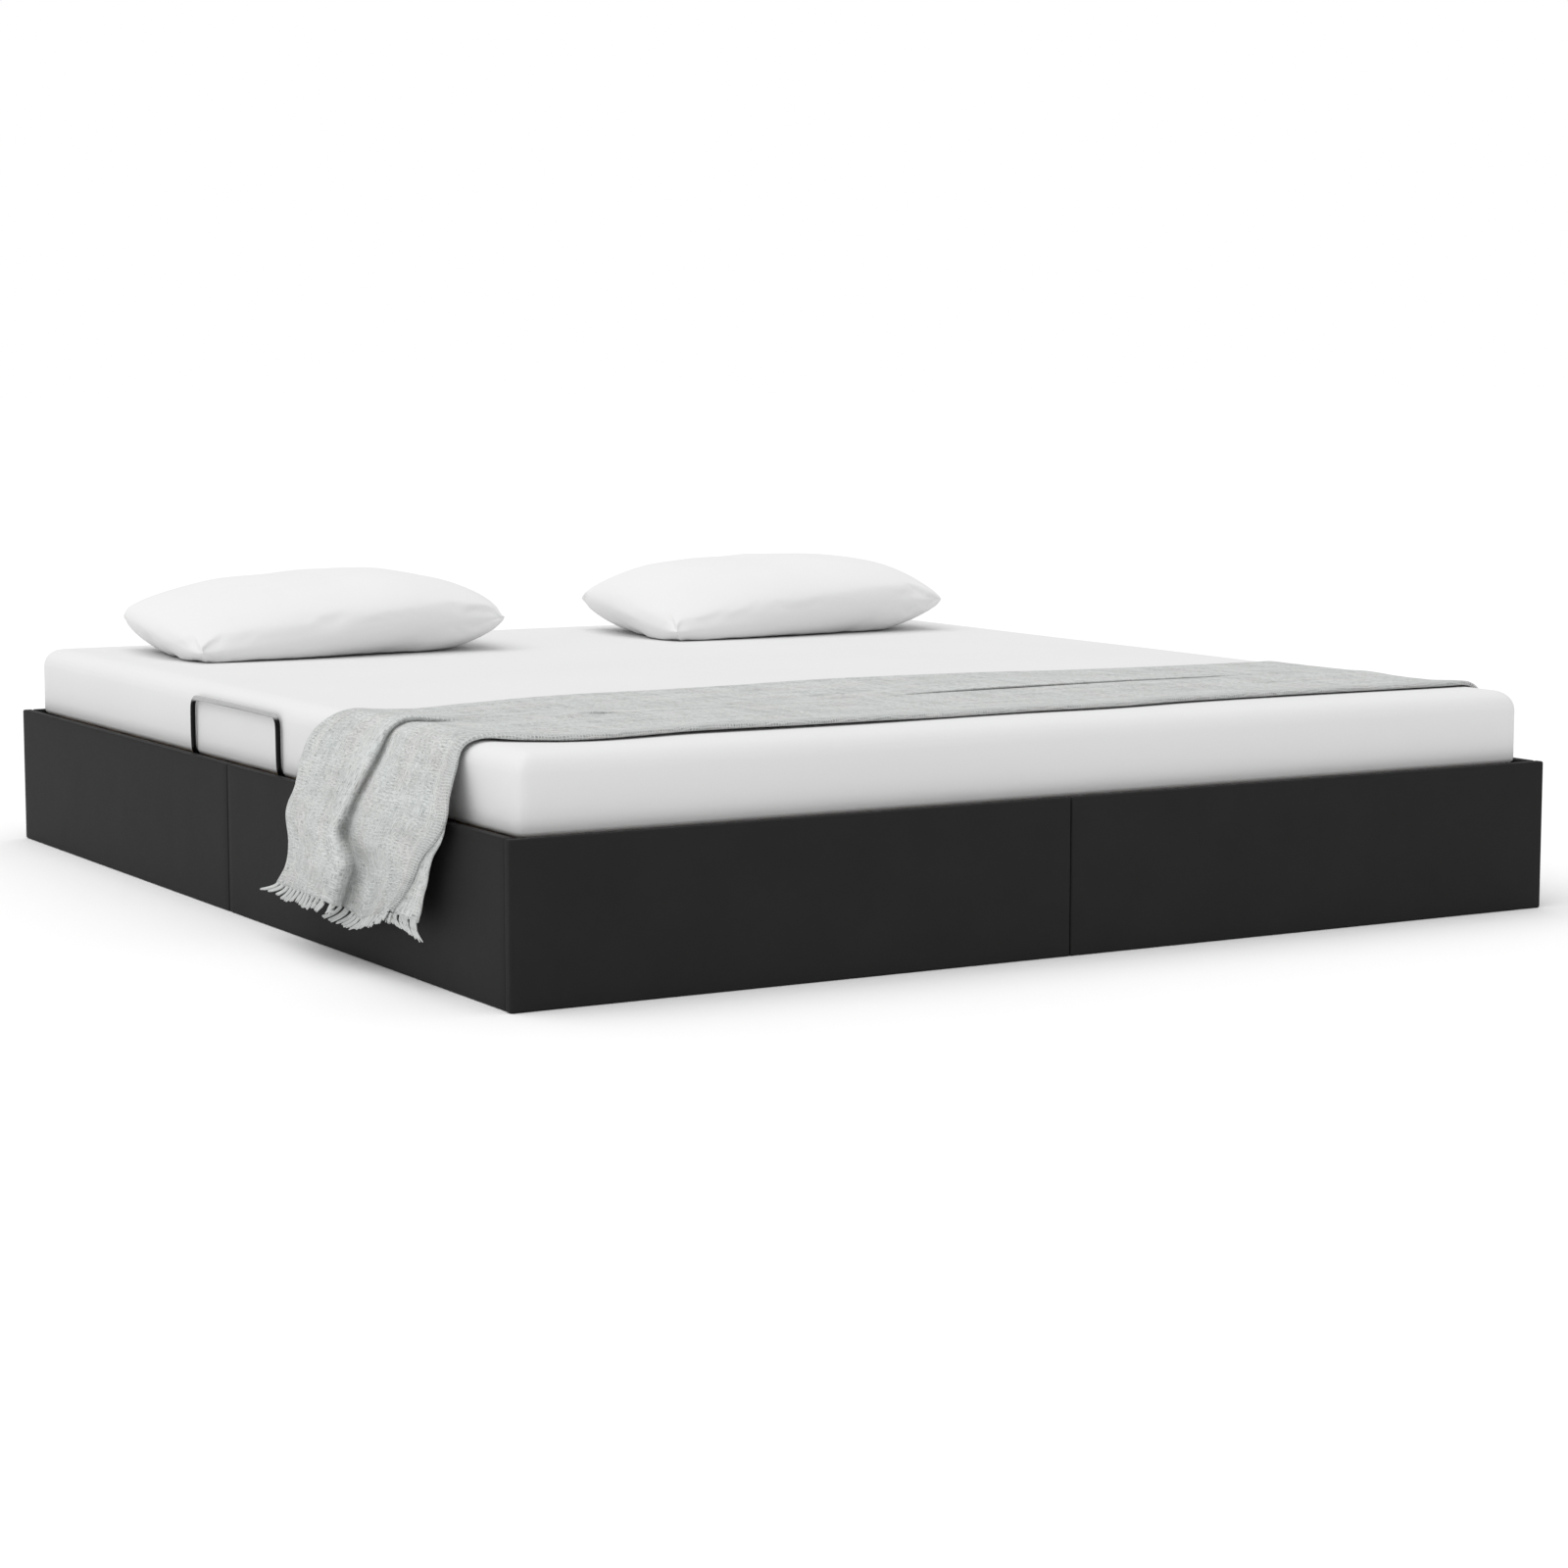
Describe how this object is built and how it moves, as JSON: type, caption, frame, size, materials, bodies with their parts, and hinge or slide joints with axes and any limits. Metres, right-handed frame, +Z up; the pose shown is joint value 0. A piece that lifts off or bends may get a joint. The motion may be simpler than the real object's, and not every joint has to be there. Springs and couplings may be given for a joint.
{
  "type": "platform bed",
  "caption": "Low upholstered platform bed with a side-lifting slatted frame over hidden storage, a mattress retainer bar, mattress, pillows and a draped throw.",
  "frame": {"origin": "on the floor under the centre post, in the middle of the bed's base", "axes": "+X from the opening side to the hinge side, +Y from foot to head, +Z up"},
  "size_m": [1.865, 2.04, 0.5003],
  "materials": {
    "upholstery": "satin black faux leather",
    "board": "matt grey board",
    "pine": "raw pine",
    "slat_wood": "satin beech plywood",
    "black_steel": "gloss black powder coat",
    "strut_rod": "polished",
    "zinc_steel": "zinc plated",
    "rubber": "matt",
    "mattress_cover": "plain white knit",
    "pillow_cotton": "plain white cotton",
    "throw_weave": "open grey weave"
  },
  "bodies": {
    "base": {"bottom_board_left_foot": "board", "bottom_board_left_head": "board", "bottom_board_right_foot": "board", "bottom_board_right_head": "board", "centre_post": "pine", "cleat_foot": "pine", "cleat_head": "pine", "cleat_left": "pine", "corner_bracket_left_foot": "zinc_steel", "corner_bracket_left_head": "zinc_steel", "corner_bracket_right_foot": "zinc_steel", "corner_bracket_right_head": "zinc_steel", "divider_foot": "board", "divider_head": "board", "floor_batten_foot": "pine", "floor_batten_head": "pine", "floor_batten_mid_foot": "pine", "floor_batten_mid_head": "pine", "foot_joiner": "pine", "foot_panel_left": "upholstery", "foot_panel_right": "upholstery", "head_joiner": "pine", "head_panel_left": "upholstery", "head_panel_right": "upholstery", "hinge_leaf_foot": "zinc_steel", "hinge_leaf_head": "zinc_steel", "hinge_pin_foot": "zinc_steel", "hinge_pin_head": "zinc_steel", "rest_strip_centre": "rubber", "rest_strip_left": "rubber", "side_joiner_left": "pine", "side_joiner_right": "pine", "side_panel_left_foot": "upholstery", "side_panel_left_head": "upholstery", "side_panel_right_foot": "upholstery", "side_panel_right_head": "upholstery", "strut_anchor_foot": "zinc_steel", "strut_anchor_head": "zinc_steel"},
    "platform": {"hinge_arm_foot": "zinc_steel", "hinge_arm_head": "zinc_steel", "mattress": "mattress_cover", "mattress_retainer_left": "black_steel", "mattress_retainer_right": "black_steel", "pillow_left": "pillow_cotton", "pillow_right": "pillow_cotton", "rail_centre": "black_steel", "rail_foot": "black_steel", "rail_head": "black_steel", "rail_left": "black_steel", "rail_right": "black_steel", "slats_left": "slat_wood", "slats_right": "slat_wood", "strut_bracket_foot": "zinc_steel", "strut_bracket_head": "zinc_steel", "throw": "throw_weave"},
    "throw_end": {"throw_end": "throw_weave"},
    "strut_foot_cylinder": {"strut_cylinder_foot": "black_steel"},
    "strut_foot_rod": {"strut_rod_foot": "strut_rod"},
    "strut_head_cylinder": {"strut_cylinder_head": "black_steel"},
    "strut_head_rod": {"strut_rod_head": "strut_rod"}
  },
  "joints": [
    {"name": "lift", "type": "hinge", "parent": "base", "child": "platform", "pos_m": [0.8975, 0, 0.238], "axis": [0, 1, 0], "range_deg": [0, 40]},
    {"name": "strut_foot_swing", "type": "hinge", "parent": "base", "child": "strut_foot_cylinder", "pos_m": [0.84, -0.943, 0.05], "axis": [0, 1, 0], "range_deg": [0, 29.5]},
    {"name": "strut_foot_stroke", "type": "slide", "parent": "strut_foot_cylinder", "child": "strut_foot_rod", "axis": [-0.8745, 0, 0.485], "range_m": [0, 0.1245]},
    {"name": "strut_head_swing", "type": "hinge", "parent": "base", "child": "strut_head_cylinder", "pos_m": [0.84, 0.943, 0.05], "axis": [0, 1, 0], "range_deg": [0, 29.5]},
    {"name": "strut_head_stroke", "type": "slide", "parent": "strut_head_cylinder", "child": "strut_head_rod", "axis": [-0.8745, 0, 0.485], "range_m": [0, 0.1245]},
    {"name": "throw_hang", "type": "hinge", "parent": "platform", "child": "throw_end", "pos_m": [-0.938, 0, 0.243], "axis": [0, 1, 0], "range_deg": [-40.1, 0]}
  ],
  "couplings": [
    {"joint": "strut_foot_swing", "follows": "lift", "ratio": 0.7351},
    {"joint": "strut_foot_stroke", "follows": "lift", "m_per_rad": 0.17754},
    {"joint": "strut_head_swing", "follows": "lift", "ratio": 0.7351},
    {"joint": "strut_head_stroke", "follows": "lift", "m_per_rad": 0.17754},
    {"joint": "throw_hang", "follows": "lift", "ratio": -1}
  ]
}
